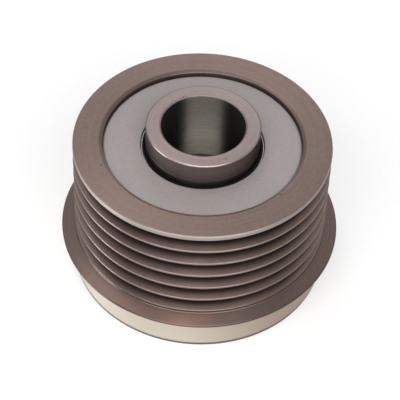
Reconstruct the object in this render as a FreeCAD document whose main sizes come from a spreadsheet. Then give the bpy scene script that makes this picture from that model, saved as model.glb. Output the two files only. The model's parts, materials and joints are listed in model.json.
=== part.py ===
import FreeCAD, Part
import os
import re

import Sketcher

# Overrunning belt pulley with a roller one-way clutch between two needle bearings.
# The axis is +Z and z = 0 is the front face of the rim, on which the pulley stands.
# All sizes are in millimetres and degrees.

# Driving sizes. Radii grow outwards from the shaft bore as a chain of walls and steps,
# and heights grow from the front face as a chain of widths.
SIZES = {
    # Hub, from the bore outwards
    "shaft_bore_radius": 8.5,
    "shaft_bore_depth": 16.6,
    "collar_wall": 2.95,
    "collar_height": 4.15,
    "journal_step": 2.55,
    "hub_edge": 0.35,
    "bore_edge": 0.2,
    "bore_lead": 0.6,
    "thread_core_radius": 7.2,
    "thread_relief": 0.9,
    "socket_radius": 10.2,
    "socket_depth": 7.0,
    "spline_tooth_count": 33,
    "spline_tooth_depth": 0.45,
    "spline_gap_width": 1.15,
    "spline_root_width": 0.5,
    "nose_wall": 1.95,
    "nose_reach": 1.2,
    # Needle bearings
    "needle_diameter": 3.0,
    "needle_count": 12,
    "needle_length": 4.6,
    "bearing_width": 6.0,
    "rolling_clearance": 0.02,
    "cage_clearance": 0.4,
    "cage_side_gap": 0.15,
    "window_clearance": 0.05,
    # Roller clutch
    "roller_count": 10,
    "roller_length": 7.2,
    "clutch_width": 9.2,
    "ramp_angle": 7.0,
    "ramp_run": 3.2,
    "ramp_lead": 0.7,
    "pocket_overcut": 1.0,
    "clutch_cage_clearance": 0.3,
    "spring_room": 2.1,
    "roller_side_room": 0.15,
    "spring_leaf": 0.13,
    "spring_fold": 0.22,
    "spring_width": 6.0,
    "spring_seat_gap": 0.03,
    "key_margin_angle": 1.5,
    "key_angle": 3.0,
    "key_height": 0.8,
    "key_clearance_angle": 0.3,
    # Clutch sleeve and rim
    "sleeve_wall": 1.9,
    "sleeve_edge": 0.3,
    "washer_shoulder": 1.1,
    "rim_wall": 2.5,
    "groove_depth": 3.45,
    "groove_count": 6,
    "groove_pitch": 3.56,
    "groove_angle": 40.0,
    "groove_root_width": 0.64,
    "first_groove": 2.6,
    "flange_height": 2.75,
    "flange_foot": 0.5,
    "flange_drop": 0.85,
    "flange_land": 0.45,
    "flange_underside": 0.35,
    "band_step": 0.2,
    "rear_face_edge": 0.4,
    "front_face_edge": 0.4,
    # Seals and recesses at the two ends
    "washer_thickness": 0.9,
    "seal_thickness": 0.7,
    "plate_thickness": 1.0,
    "plate_corner": 0.55,
    "plate_hole_edge": 0.15,
    "plate_gap": 0.95,
    "washer_gap": 0.5,
    "lip_clearance": 0.1,
    "lip_width": 0.55,
    "lip_rise": 0.75,
    "rear_recess": 1.05,
    "cap_recess": 4.8,
    "cap_step": 0.5,
    "cap_groove_depth": 0.5,
    "cap_groove_width": 1.0,
    "cap_groove_place": 1.8,
}

# Sizes that follow from the driving ones
DERIVED = {
    "collar_radius": "shaft_bore_radius + collar_wall",
    "journal_radius": "collar_radius + journal_step",
    "raceway_radius": "journal_radius + needle_diameter",
    "needle_radius": "needle_diameter / 2 - rolling_clearance",
    "needle_path_radius": "journal_radius + needle_diameter / 2",
    "cage_inner": "journal_radius + cage_clearance",
    "cage_outer": "raceway_radius - cage_clearance",
    "sleeve_radius": "raceway_radius + sleeve_wall",
    "seat_radius": "sleeve_radius + washer_shoulder",
    "groove_root_radius": "seat_radius + rim_wall",
    "rib_radius": "groove_root_radius + groove_depth",
    "band_radius": "rib_radius + band_step",
    "nose_radius": "socket_radius + spline_tooth_depth + nose_wall",
    "cap_radius": "seat_radius + cap_step",
    # Heights, from the front face to the rear one
    "front_plate_bottom": "cap_recess",
    "front_seal_bottom": "front_plate_bottom + plate_thickness",
    "front_washer_bottom": "front_seal_bottom + seal_thickness",
    "sleeve_bottom": "front_washer_bottom + washer_thickness",
    "sleeve_length": "2 * bearing_width + clutch_width + 4 * cage_side_gap",
    "sleeve_top": "sleeve_bottom + sleeve_length",
    "rear_seal_bottom": "sleeve_top + washer_thickness",
    "rear_plate_bottom": "rear_seal_bottom + seal_thickness",
    "rear_plate_top": "rear_plate_bottom + plate_thickness",
    "rim_length": "rear_plate_top + rear_recess",
    "front_cage_bottom": "sleeve_bottom + cage_side_gap",
    "clutch_bottom": "front_cage_bottom + bearing_width + cage_side_gap",
    "clutch_top": "clutch_bottom + clutch_width",
    "rear_cage_bottom": "clutch_top + cage_side_gap",
    "hub_bottom": "cap_recess - nose_reach",
    "hub_top": "rim_length + collar_height",
    "journal_bottom": "sleeve_bottom + cage_side_gap",
    "journal_top": "sleeve_top - cage_side_gap",
    "shaft_bore_bottom": "hub_top - shaft_bore_depth",
    "socket_top": "hub_bottom + socket_depth",
    # Belt grooves and flange
    "groove_half_angle": "groove_angle / 2",
    "groove_mouth": "groove_root_width / 2 + groove_depth * tan(groove_half_angle)",
    "groove_cut_radius": "rib_radius + groove_root_width",
    "groove_cut_mouth": "groove_mouth + groove_root_width * tan(groove_half_angle)",
    "first_groove_height": "rim_length - first_groove",
    "last_groove_height": "first_groove_height - (groove_count - 1) * groove_pitch",
    "flange_root_height": "last_groove_height - groove_mouth",
    "flange_cone_height": "flange_root_height - flange_foot",
    "flange_edge_height": "flange_cone_height - flange_drop",
    "flange_radius": "rib_radius + flange_height",
    "flange_low_height": "flange_edge_height - flange_land",
    # Roller clutch
    "roller_radius": "needle_diameter / 2",
    "roller_path_radius": "journal_radius + roller_radius + rolling_clearance",
    "ramp_distance": "roller_radius + rolling_clearance",
    "ramp_foot_across": "roller_path_radius + ramp_distance * cos(ramp_angle)",
    "ramp_foot_up": "-ramp_distance * sin(ramp_angle)",
    "ramp_end_across": "ramp_foot_across + ramp_run * sin(ramp_angle)",
    "ramp_end_up": "ramp_foot_up + ramp_run * cos(ramp_angle)",
    "ramp_end_radius": "sqrt(ramp_end_across ^ 2 + ramp_end_up ^ 2)",
    "clutch_cage_inner": "journal_radius + clutch_cage_clearance",
    "clutch_cage_outer": "raceway_radius - clutch_cage_clearance",
    "window_low": "roller_radius + roller_side_room",
    "window_high": "roller_radius + spring_room",
    "key_start_angle": "asin(window_high / clutch_cage_outer) / 1 deg + key_margin_angle",
    "key_end_angle": "key_start_angle + key_angle",
    "key_radius": "clutch_cage_outer + key_height",
    "pocket_end_angle": "key_end_angle + key_clearance_angle",
    "pocket_depth_radius": "max(ramp_end_radius; key_radius + cage_side_gap)",
    "pocket_inner_radius": "raceway_radius - pocket_overcut",
    "spring_step": "(spring_room - 2 * spring_seat_gap - spring_leaf) / 4",
    "spring_start": "window_high - spring_seat_gap - spring_leaf / 2",
    "spring_inner": "clutch_cage_inner + spring_fold + spring_leaf",
    "spring_outer": "clutch_cage_outer - spring_fold - spring_leaf",
    "spring_tip": "roller_path_radius - roller_radius / 3",
    "roller_bottom": "clutch_bottom + (clutch_width - roller_length) / 2",
    "spring_bottom": "clutch_bottom + (clutch_width - spring_width) / 2",
}


doc = FreeCAD.newDocument("OverrunningPulley")
sheet = doc.addObject("Spreadsheet::Sheet", "Sizes")


def bound(formula):
    """The formula with each size name pointed at its cell; every size name holds an underscore."""
    return re.sub(r"\b([a-z]+(?:_[a-z]+)+)\b", r"Sizes.\1", formula)


def fill_sheet():
    """Write the driving sizes as plain numbers and the derived ones as formulas."""
    for row, (name, number) in enumerate(SIZES.items(), start=1):
        sheet.set(f"A{row}", name)
        sheet.set(f"B{row}", str(number))
        sheet.setAlias(f"B{row}", name)
    for row, (name, formula) in enumerate(DERIVED.items(), start=len(SIZES) + 1):
        sheet.set(f"A{row}", name)
        sheet.set(f"B{row}", "=" + formula)
        sheet.setAlias(f"B{row}", name)
    doc.recompute()


def size(formula):
    """The present value of a formula of size names."""
    value = sheet.evalExpression(formula)
    return float(getattr(value, "Value", value))


def new_body(label):
    """An empty body that carries the name of its sub-part."""
    body = doc.addObject("PartDesign::Body", label)
    body.Label = label
    return body


def origin_feature(body, role):
    """The body's own origin plane or axis with this role."""
    return next(f for f in body.Origin.OriginFeatures if f.Role == role)


def new_sketch(body, name, plane, lift="0"):
    """A sketch on one of the body's origin planes, lifted along the plane's normal."""
    sketch = body.newObject("Sketcher::SketchObject", name)
    sketch.AttachmentSupport = [(origin_feature(body, plane), "")]
    sketch.MapMode = "FlatFace"
    if lift != "0":
        sketch.AttachmentOffset = FreeCAD.Placement(
            FreeCAD.Vector(0, 0, size(lift)), FreeCAD.Rotation()
        )
        sketch.setExpression("AttachmentOffset.Base.z", bound(lift))
    return sketch


def hold_coordinate(sketch, kind, name, edge, point, formula):
    """Fix one coordinate of a corner to a formula, measured from the sketch's origin."""
    value = size(formula)
    if formula == "0":
        axis = -2 if kind == "DistanceX" else -1
        sketch.addConstraint(Sketcher.Constraint("PointOnObject", edge, point, axis))
        return
    ends = (-1, 1, edge, point) if value >= 0 else (edge, point, -1, 1)
    index = sketch.addConstraint(Sketcher.Constraint(kind, *ends, abs(value)))
    sketch.renameConstraint(index, name)
    signed = bound(formula) if value >= 0 else f"-({bound(formula)})"
    sketch.setExpression(f"Constraints.{name}", signed)


def outline(sketch, corners):
    """Draw a closed outline of straight sides whose corners are (across, up) formulas."""
    points = [FreeCAD.Vector(size(across), size(up), 0) for across, up in corners]
    edges = [
        sketch.addGeometry(Part.LineSegment(tail, head), False)
        for tail, head in zip(points, points[1:] + points[:1])
    ]
    for edge, following in zip(edges, edges[1:] + edges[:1]):
        sketch.addConstraint(Sketcher.Constraint("Coincident", edge, 2, following, 1))
    for n, (across, up) in enumerate(corners):
        hold_coordinate(sketch, "DistanceX", f"across_{n}", edges[n], 1, across)
        hold_coordinate(sketch, "DistanceY", f"up_{n}", edges[n], 1, up)


def circle(sketch, name, radius):
    """A circle about the axis, with its radius held to a formula."""
    edge = sketch.addGeometry(Part.Circle(FreeCAD.Vector(), FreeCAD.Vector(0, 0, 1), size(radius)), False)
    sketch.addConstraint(Sketcher.Constraint("Coincident", edge, 3, -1, 1))
    index = sketch.addConstraint(Sketcher.Constraint("Radius", edge, size(radius)))
    sketch.renameConstraint(index, name)
    sketch.setExpression(f"Constraints.{name}", bound(radius))


def turned(body, name, corners, kind="Revolution"):
    """Turn a section of (radius, height) corners about the axis, to add or to cut a ring."""
    sketch = new_sketch(body, name + "_section", "XZ_Plane")
    outline(sketch, corners)
    feature = body.newObject(f"PartDesign::{kind}", name)
    feature.Profile = sketch
    feature.ReferenceAxis = (sketch, ["V_Axis"])
    feature.Angle = 360
    return feature


def extruded(body, name, sketch, length, kind="Pocket", reverse=False):
    """Pad or pocket a sketch to a length formula."""
    feature = body.newObject(f"PartDesign::{kind}", name)
    feature.Profile = sketch
    feature.Type = "Length"
    feature.Reversed = reverse
    feature.setExpression("Length", bound(length))
    return feature


def repeated_round(body, name, feature, count):
    """Repeat a feature evenly round the axis."""
    pattern = body.newObject("PartDesign::PolarPattern", name)
    pattern.Originals = [feature]
    pattern.Axis = (origin_feature(body, "Z_Axis"), [""])
    pattern.Angle = 360
    pattern.setExpression("Occurrences", bound(count))
    body.Tip = pattern
    return pattern


def repeated_down(body, name, feature, count, pitch):
    """Repeat a feature down the axis, one pitch apart."""
    pattern = body.newObject("PartDesign::LinearPattern", name)
    pattern.Originals = [feature]
    pattern.Direction = (origin_feature(body, "Z_Axis"), [""])
    pattern.Reversed = True
    pattern.Mode = "Spacing"
    pattern.setExpression("Offset", bound(pitch))
    pattern.setExpression("Occurrences", bound(count))
    body.Tip = pattern
    return pattern


def ring_corners(inner, outer, low, high):
    """The four corners of a plain ring's section."""
    return [(inner, low), (outer, low), (outer, high), (inner, high)]


def pulley_rim():
    """Steel rim: rear recess, sleeve seat, cap recess with its snap groove, flange and belt grooves."""
    body = new_body("pulley_rim")
    turned(body, "rim_blank", [
        ("cap_radius + front_face_edge", "0"),
        ("band_radius - front_face_edge", "0"),
        ("band_radius", "front_face_edge"),
        ("band_radius", "flange_low_height - flange_underside"),
        ("flange_radius - flange_underside", "flange_low_height - flange_underside"),
        ("flange_radius", "flange_low_height"),
        ("flange_radius", "flange_edge_height"),
        ("rib_radius", "flange_cone_height"),
        ("rib_radius", "rim_length - rear_face_edge"),
        ("rib_radius - rear_face_edge", "rim_length"),
        ("seat_radius", "rim_length"),
        ("seat_radius", "sleeve_top"),
        ("sleeve_radius", "sleeve_top"),
        ("sleeve_radius", "sleeve_bottom"),
        ("seat_radius", "sleeve_bottom"),
        ("seat_radius", "cap_recess"),
        ("cap_radius", "cap_recess"),
        ("cap_radius", "front_face_edge"),
    ])
    turned(body, "cap_snap_groove", [
        ("cap_radius - cap_groove_depth", "cap_groove_place"),
        ("cap_radius + cap_groove_depth", "cap_groove_place + cap_groove_depth / 4"),
        ("cap_radius + cap_groove_depth", "cap_groove_place + cap_groove_width - cap_groove_depth / 4"),
        ("cap_radius - cap_groove_depth", "cap_groove_place + cap_groove_width"),
    ], kind="Groove")
    groove = turned(body, "belt_groove", [
        ("groove_root_radius", "first_groove_height - groove_root_width / 2"),
        ("groove_cut_radius", "first_groove_height - groove_cut_mouth"),
        ("groove_cut_radius", "first_groove_height + groove_cut_mouth"),
        ("groove_root_radius", "first_groove_height + groove_root_width / 2"),
    ], kind="Groove")
    repeated_down(body, "belt_grooves", groove, "groove_count", "groove_pitch")
    return body


def clutch_sleeve():
    """Hardened ring in the rim: a needle raceway at each end and the clutch's ramps between them."""
    body = new_body("clutch_sleeve")
    turned(body, "sleeve_blank", [
        ("raceway_radius + sleeve_edge", "sleeve_bottom"),
        ("sleeve_radius - sleeve_edge", "sleeve_bottom"),
        ("sleeve_radius", "sleeve_bottom + sleeve_edge"),
        ("sleeve_radius", "sleeve_top - sleeve_edge"),
        ("sleeve_radius - sleeve_edge", "sleeve_top"),
        ("raceway_radius + sleeve_edge", "sleeve_top"),
        ("raceway_radius", "sleeve_top - sleeve_edge"),
        ("raceway_radius", "sleeve_bottom + sleeve_edge"),
    ])
    sketch = new_sketch(body, "ramp_outline", "XY_Plane", "clutch_top")
    outline(sketch, [
        ("ramp_foot_across - ramp_lead * sin(ramp_angle)", "ramp_foot_up - ramp_lead * cos(ramp_angle)"),
        ("ramp_end_across", "ramp_end_up"),
        ("pocket_depth_radius * cos(pocket_end_angle)", "pocket_depth_radius * sin(pocket_end_angle)"),
        ("pocket_inner_radius * cos(pocket_end_angle)", "pocket_inner_radius * sin(pocket_end_angle)"),
        ("pocket_inner_radius", "ramp_foot_up - ramp_lead"),
    ])
    ramp = extruded(body, "ramp_pocket", sketch, "clutch_width")
    repeated_round(body, "ramp_pockets", ramp, "roller_count")
    return body


def hub():
    """Inner ring: rear collar, journal, splined tool socket, thread core and plain shaft bore."""
    body = new_body("hub")
    turned(body, "hub_blank", [
        ("socket_radius + spline_tooth_depth + hub_edge / 2", "hub_bottom"),
        ("nose_radius - hub_edge", "hub_bottom"),
        ("nose_radius", "hub_bottom + hub_edge"),
        ("nose_radius", "journal_bottom"),
        ("journal_radius - hub_edge", "journal_bottom"),
        ("journal_radius", "journal_bottom + hub_edge"),
        ("journal_radius", "journal_top - hub_edge"),
        ("journal_radius - hub_edge", "journal_top"),
        ("collar_radius", "journal_top"),
        ("collar_radius", "hub_top - hub_edge"),
        ("collar_radius - hub_edge", "hub_top"),
        ("shaft_bore_radius + bore_edge", "hub_top"),
        ("shaft_bore_radius", "hub_top - bore_lead"),
        ("shaft_bore_radius", "shaft_bore_bottom"),
        ("thread_core_radius + thread_relief", "shaft_bore_bottom"),
        ("thread_core_radius", "shaft_bore_bottom - thread_relief"),
        ("thread_core_radius", "socket_top + thread_relief"),
        ("thread_core_radius + thread_relief", "socket_top"),
        ("socket_radius", "socket_top"),
        ("socket_radius", "hub_bottom + spline_tooth_depth + hub_edge / 2"),
    ])
    sketch = new_sketch(body, "spline_gap_outline", "XY_Plane", "socket_top")
    outline(sketch, [
        ("socket_radius - spline_tooth_depth / 2", "-spline_gap_width / 2"),
        ("socket_radius + spline_tooth_depth", "-spline_root_width / 2"),
        ("socket_radius + spline_tooth_depth", "spline_root_width / 2"),
        ("socket_radius - spline_tooth_depth / 2", "spline_gap_width / 2"),
    ])
    gap = extruded(body, "spline_gap", sketch, "socket_depth + hub_edge")
    repeated_round(body, "spline_gaps", gap, "spline_tooth_count")
    return body


def thrust_washer(label, shaft, bottom):
    """Flat washer between a seal and the hub's shoulder."""
    body = new_body(label)
    sketch = new_sketch(body, label + "_outline", "XY_Plane", bottom)
    circle(sketch, "hole", f"{shaft} + washer_gap")
    circle(sketch, "rim", "seat_radius")
    extruded(body, label + "_blank", sketch, "washer_thickness", kind="Pad")
    return body


def seal_ring(label, shaft, inside, outside, out):
    """Rubber ring whose lip leans out towards the shaft; out is + for up and - for down."""
    body = new_body(label)
    turned(body, label + "_section", [
        (f"{shaft} + lip_clearance", inside),
        ("seat_radius", inside),
        ("seat_radius", outside),
        (f"{shaft} + lip_clearance + lip_width", outside),
        (f"{shaft} + lip_clearance + lip_width / 2", f"{outside} {out} lip_rise"),
        (f"{shaft} + lip_clearance", f"{outside} {out} lip_rise"),
    ])
    return body


def seal_plate(label, shaft, inside, outside, out):
    """Steel cover plate with a rounded rim; out is + for up and - for down."""
    body = new_body(label)
    back = "-" if out == "+" else "+"
    turned(body, label + "_section", [
        (f"{shaft} + plate_gap", inside),
        ("seat_radius", inside),
        ("seat_radius", f"{outside} {back} plate_corner"),
        ("seat_radius - plate_corner", outside),
        (f"{shaft} + plate_gap + plate_hole_edge", outside),
        (f"{shaft} + plate_gap", f"{outside} {back} plate_hole_edge"),
    ])
    return body


def window_corners(low, high, bottom, top):
    """The corners of a cage window, seen along the radius."""
    return [(low, bottom), (high, bottom), (high, top), (low, top)]


def needle_cage(label, bottom):
    """Ring with a window for each needle."""
    body = new_body(label)
    turned(body, label + "_ring", ring_corners("cage_inner", "cage_outer", bottom, f"{bottom} + bearing_width"))
    sketch = new_sketch(body, label + "_window_outline", "YZ_Plane")
    side = "(bearing_width - needle_length) / 2 - window_clearance"
    outline(sketch, window_corners(
        "-(needle_radius + window_clearance)", "needle_radius + window_clearance",
        f"{bottom} + {side}", f"{bottom} + bearing_width - ({side})",
    ))
    window = extruded(body, label + "_window", sketch, "raceway_radius", reverse=True)
    repeated_round(body, label + "_windows", window, "needle_count")
    return body


def roller(label, number, count, radius, height, path, bottom):
    """One cylinder of a ring of rollers, standing at its own angle."""
    pin = doc.addObject("Part::Cylinder", label)
    pin.Label = label
    pin.setExpression("Radius", bound(radius))
    pin.setExpression("Height", bound(height))
    angle = f"{number} * 360 / {count}"
    pin.setExpression("Placement.Base.x", bound(f"{path} * cos({angle})"))
    pin.setExpression("Placement.Base.y", bound(f"{path} * sin({angle})"))
    pin.setExpression("Placement.Base.z", bound(bottom))
    return pin


def needles(side, bottom):
    """The ring of needles of one bearing."""
    start = f"{bottom} + (bearing_width - needle_length) / 2"
    return [
        roller(f"{side}_needle_{n + 1:02d}", n, "needle_count", "needle_radius", "needle_length",
               "needle_path_radius", start)
        for n in range(round(size("needle_count")))
    ]


def clutch_cage():
    """Ring that holds rollers and springs, keyed into the sleeve's pockets."""
    body = new_body("clutch_cage")
    turned(body, "clutch_cage_ring",
           ring_corners("clutch_cage_inner", "clutch_cage_outer", "clutch_bottom", "clutch_top"))
    sketch = new_sketch(body, "roller_window_outline", "YZ_Plane")
    outline(sketch, window_corners(
        "-window_low", "window_high",
        "roller_bottom - window_clearance", "roller_bottom + roller_length + window_clearance",
    ))
    window = extruded(body, "roller_window", sketch, "raceway_radius", reverse=True)
    repeated_round(body, "roller_windows", window, "roller_count")
    sketch = new_sketch(body, "key_outline", "XY_Plane", "clutch_bottom + cage_side_gap")
    root = "(clutch_cage_outer - key_height / 2)"
    outline(sketch, [
        (f"{root} * cos(key_start_angle)", f"{root} * sin(key_start_angle)"),
        ("key_radius * cos(key_start_angle)", "key_radius * sin(key_start_angle)"),
        ("key_radius * cos(key_end_angle)", "key_radius * sin(key_end_angle)"),
        (f"{root} * cos(key_end_angle)", f"{root} * sin(key_end_angle)"),
    ])
    key = extruded(body, "cage_key", sketch, "clutch_width - 2 * cage_side_gap", kind="Pad")
    repeated_round(body, "cage_keys", key, "roller_count")
    return body


def clutch_rollers():
    """The rollers, each at the narrow end of its ramp."""
    return [
        roller(f"clutch_roller_{n + 1:02d}", n, "roller_count", "roller_radius", "roller_length",
               "roller_path_radius", "roller_bottom")
        for n in range(round(size("roller_count")))
    ]


def clutch_spring(number):
    """Folded leaf spring between the cage's bar and a roller."""
    label = f"clutch_spring_{number + 1:02d}"
    body = new_body(label)
    sketch = new_sketch(body, label + "_outline", "XY_Plane", "spring_bottom")
    heights = [f"spring_start - {n} * spring_step" for n in range(5)]
    turns = ["spring_outer", "spring_inner", "spring_outer"]
    near = [(f"{turn} + spring_fold", up) for turn, up in zip(turns, heights[1:4])]
    far = [(f"{turn} - spring_fold", up) for turn, up in zip(turns, heights[1:4])]
    front = [("spring_inner", f"{heights[0]} + spring_leaf / 2"), *near]
    front.append(("spring_tip", f"{heights[4]} - spring_leaf / 2"))
    back = [("spring_inner", f"{heights[0]} - spring_leaf / 2"), *far]
    back.append(("spring_tip", f"{heights[4]} + spring_leaf / 2"))
    outline(sketch, front + back[::-1])
    extruded(body, label + "_leaf", sketch, "spring_width", kind="Pad")
    body.Placement = FreeCAD.Placement(FreeCAD.Vector(), FreeCAD.Rotation(FreeCAD.Vector(0, 0, 1), 0))
    body.setExpression("Placement.Rotation.Angle", bound(f"{number} * 360 / roller_count"))
    return body


def build():
    """Make every sub-part in the document."""
    parts = [
        pulley_rim(),
        clutch_sleeve(),
        hub(),
        thrust_washer("rear_thrust_washer", "collar_radius", "sleeve_top"),
        thrust_washer("front_thrust_washer", "nose_radius", "front_washer_bottom"),
        seal_ring("rear_seal_ring", "collar_radius", "rear_seal_bottom", "rear_plate_bottom", "+"),
        seal_ring("front_seal_ring", "nose_radius", "front_washer_bottom", "front_seal_bottom", "-"),
        seal_plate("rear_seal_plate", "collar_radius", "rear_plate_bottom", "rear_plate_top", "+"),
        seal_plate("front_seal_plate", "nose_radius", "front_seal_bottom", "front_plate_bottom", "-"),
        needle_cage("rear_needle_cage", "rear_cage_bottom"),
        needle_cage("front_needle_cage", "front_cage_bottom"),
        clutch_cage(),
    ]
    parts += needles("rear", "rear_cage_bottom")
    parts += needles("front", "front_cage_bottom")
    parts += clutch_rollers()
    parts += [clutch_spring(n) for n in range(round(size("roller_count")))]
    doc.recompute()
    return parts


def check(parts):
    """Stop if any object failed, any cut missed its solid or any sub-part isn't one valid solid."""
    for item in doc.Objects:
        if {"Invalid", "Error"} & set(item.State):
            raise RuntimeError(f"{item.Name} failed: {item.State}")
        if item.TypeId == "Sketcher::SketchObject" and not item.FullyConstrained:
            raise RuntimeError(f"{item.Name} isn't fully constrained")
        if item.TypeId in ("PartDesign::Pocket", "PartDesign::Groove"):
            if item.Shape.Volume >= item.BaseFeature.Shape.Volume:
                raise RuntimeError(f"{item.Name} cuts nothing")
    for part in parts:
        if part.Shape.isNull() or not part.Shape.isValid() or len(part.Shape.Solids) != 1:
            raise RuntimeError(f"{part.Label} isn't one valid solid")


def export(parts):
    """Write each sub-part under its own name."""
    os.makedirs("parts", exist_ok=True)
    for part in parts:
        part.Shape.exportStep(f"parts/{part.Label}.step")


fill_sheet()
sub_parts = build()
check(sub_parts)
export(sub_parts)
print(len(sub_parts), "sub-parts written")
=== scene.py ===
"""Looks of an overrunning belt pulley: a grooved steel rim with a one-way clutch round its hub.

Pieces are drawn in the CAD's frame. Sections are written in millimetres as (radius, height), with
height 0 at the rim's front face, and every mesh is brought to metres when it is finished.
"""

import json
import logging
import math
from collections.abc import Iterable, Sequence
from dataclasses import dataclass, field
from enum import Enum
from functools import reduce
from typing import ClassVar

import bmesh
import bpy
from mathutils import Euler, Matrix, Vector


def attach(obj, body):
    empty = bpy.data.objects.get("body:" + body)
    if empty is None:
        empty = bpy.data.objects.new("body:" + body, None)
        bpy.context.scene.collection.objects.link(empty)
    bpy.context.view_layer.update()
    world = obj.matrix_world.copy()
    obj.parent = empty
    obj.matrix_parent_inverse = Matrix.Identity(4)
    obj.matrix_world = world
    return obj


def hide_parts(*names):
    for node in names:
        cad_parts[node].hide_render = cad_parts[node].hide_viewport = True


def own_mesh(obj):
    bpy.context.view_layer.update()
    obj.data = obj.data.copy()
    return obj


MM = 0.001
PHOTO_PIXELS = 400
SENSOR_MM = 36.0
SMOOTH_LIMIT = math.radians(32)
UPRIGHT = Vector((0, 0, 1))
WELD_MM = 1e-4
NOISE_SPAN = (0.3, 0.7)
BLUE_LOSS = 0.6

log = logging.getLogger("pulley")
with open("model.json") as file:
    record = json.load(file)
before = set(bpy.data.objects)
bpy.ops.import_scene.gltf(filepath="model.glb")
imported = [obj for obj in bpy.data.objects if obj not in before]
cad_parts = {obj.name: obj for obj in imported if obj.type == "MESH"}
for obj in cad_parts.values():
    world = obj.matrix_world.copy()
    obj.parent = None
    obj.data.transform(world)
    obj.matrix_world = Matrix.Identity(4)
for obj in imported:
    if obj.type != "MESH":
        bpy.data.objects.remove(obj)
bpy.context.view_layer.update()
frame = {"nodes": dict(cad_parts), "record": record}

Colour = tuple[float, float, float, float]
Span = tuple[float, float]
Socket = bpy.types.NodeSocket
Shape = bmesh.types.BMesh


def grey(level: float, warmth: float = 0.0) -> Colour:
    """A linear grey that leans to brown as warmth grows."""
    return (level * (1 + warmth), level, level * (1 - BLUE_LOSS * warmth), 1.0)


class Graph:
    """Short calls that add and wire the nodes of one shader tree."""

    def __init__(self, tree: bpy.types.NodeTree) -> None:
        """Take over an empty or part-filled tree."""
        self.tree = tree

    def feed(self, socket: Socket, value: object) -> None:
        """Link another node's output into a socket, or set the socket's own value.

        Args:
            socket: the input that is fed.
            value: a number, a colour or another node's output.
        """
        if isinstance(value, Socket):
            self.tree.links.new(value, socket)
        else:
            socket.default_value = value

    def add(self, kind: str, inputs: dict | None = None, **settings: object) -> bpy.types.Node:
        """Add one shader node.

        Args:
            kind: the node's type without its ShaderNode prefix.
            inputs: socket names or numbers, each with a value or another node's output.
            settings: the node's own properties.

        Returns:
            The new node.
        """
        node = self.tree.nodes.new(f"ShaderNode{kind}")
        for name, value in settings.items():
            setattr(node, name, value)
        for name, value in (inputs or {}).items():
            self.feed(node.inputs[name], value)
        return node

    def calc(self, operation: str, *values: object, clamp: bool = False) -> Socket:
        """One step of arithmetic on numbers or outputs; returns its result."""
        node = self.add("Math", dict(enumerate(values)), operation=operation, use_clamp=clamp)
        return node.outputs[0]

    def times(self, *values: object) -> Socket:
        """The product of two or more numbers or outputs."""
        return reduce(lambda first, second: self.calc("MULTIPLY", first, second), values)

    def ramp(self, value: object, low: float, high: float, start: float = 0.0,
             end: float = 1.0) -> Socket:
        """Ease from start to end as a value runs from low to high.

        Args:
            value: the output that is read.
            low: its value where the ease begins.
            high: its value where the ease ends.
            start: the result at and before low.
            end: the result at and after high.

        Returns:
            The eased output.
        """
        inputs = {"Value": value, "From Min": low, "From Max": high, "To Min": start,
                  "To Max": end}
        return self.add("MapRange", inputs, interpolation_type="SMOOTHSTEP").outputs["Result"]

    def blend(self, share: object, first: object, second: object,
              how: str = "MIX") -> Socket:
        """Mix two colours.

        Args:
            share: how much of the second colour shows, from 0 to 1.
            first: the colour below.
            second: the colour above.
            how: the way in which they are mixed.

        Returns:
            The mixed colour.
        """
        node = self.add("Mix", data_type="RGBA", blend_type=how)
        for number, value in ((0, share), (6, first), (7, second)):
            self.feed(node.inputs[number], value)
        return node.outputs[2]

    def scaled(self, colour: object, level: object) -> Socket:
        """A colour made darker or lighter by one number that varies over the surface."""
        even = self.add("CombineColor", dict.fromkeys(("Red", "Green", "Blue"), level)).outputs[0]
        return self.blend(1.0, colour, even, "MULTIPLY")

    def noise(self, place: object, scale: object, detail: float = 2.0,
              roughness: float = 0.5) -> Socket:
        """Plain noise at a place; returns its value, which mostly stays in NOISE_SPAN."""
        inputs = {"Vector": place, "Scale": scale, "Detail": detail, "Roughness": roughness}
        return self.add("TexNoise", inputs).outputs["Fac"]

    def place(self) -> Socket:
        """The surface point in the part's own frame, in metres."""
        return self.add("TexCoord").outputs["Object"]

    def axes(self) -> bpy.types.NodeOutputs:
        """The same point's x, y and z, in metres."""
        return self.add("SeparateXYZ", {"Vector": self.place()}).outputs

    def round_place(self) -> tuple[Socket, Socket]:
        """Measure the surface point round the axis, in millimetres.

        Returns:
            Its distance from the axis, and its height.
        """
        x, y, z = self.axes()
        flat = self.add("CombineXYZ", {"X": x, "Y": y}).outputs[0]
        radius = self.add("VectorMath", {0: flat}, operation="LENGTH").outputs["Value"]
        return self.calc("DIVIDE", radius, MM), self.calc("DIVIDE", z, MM)


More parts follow.
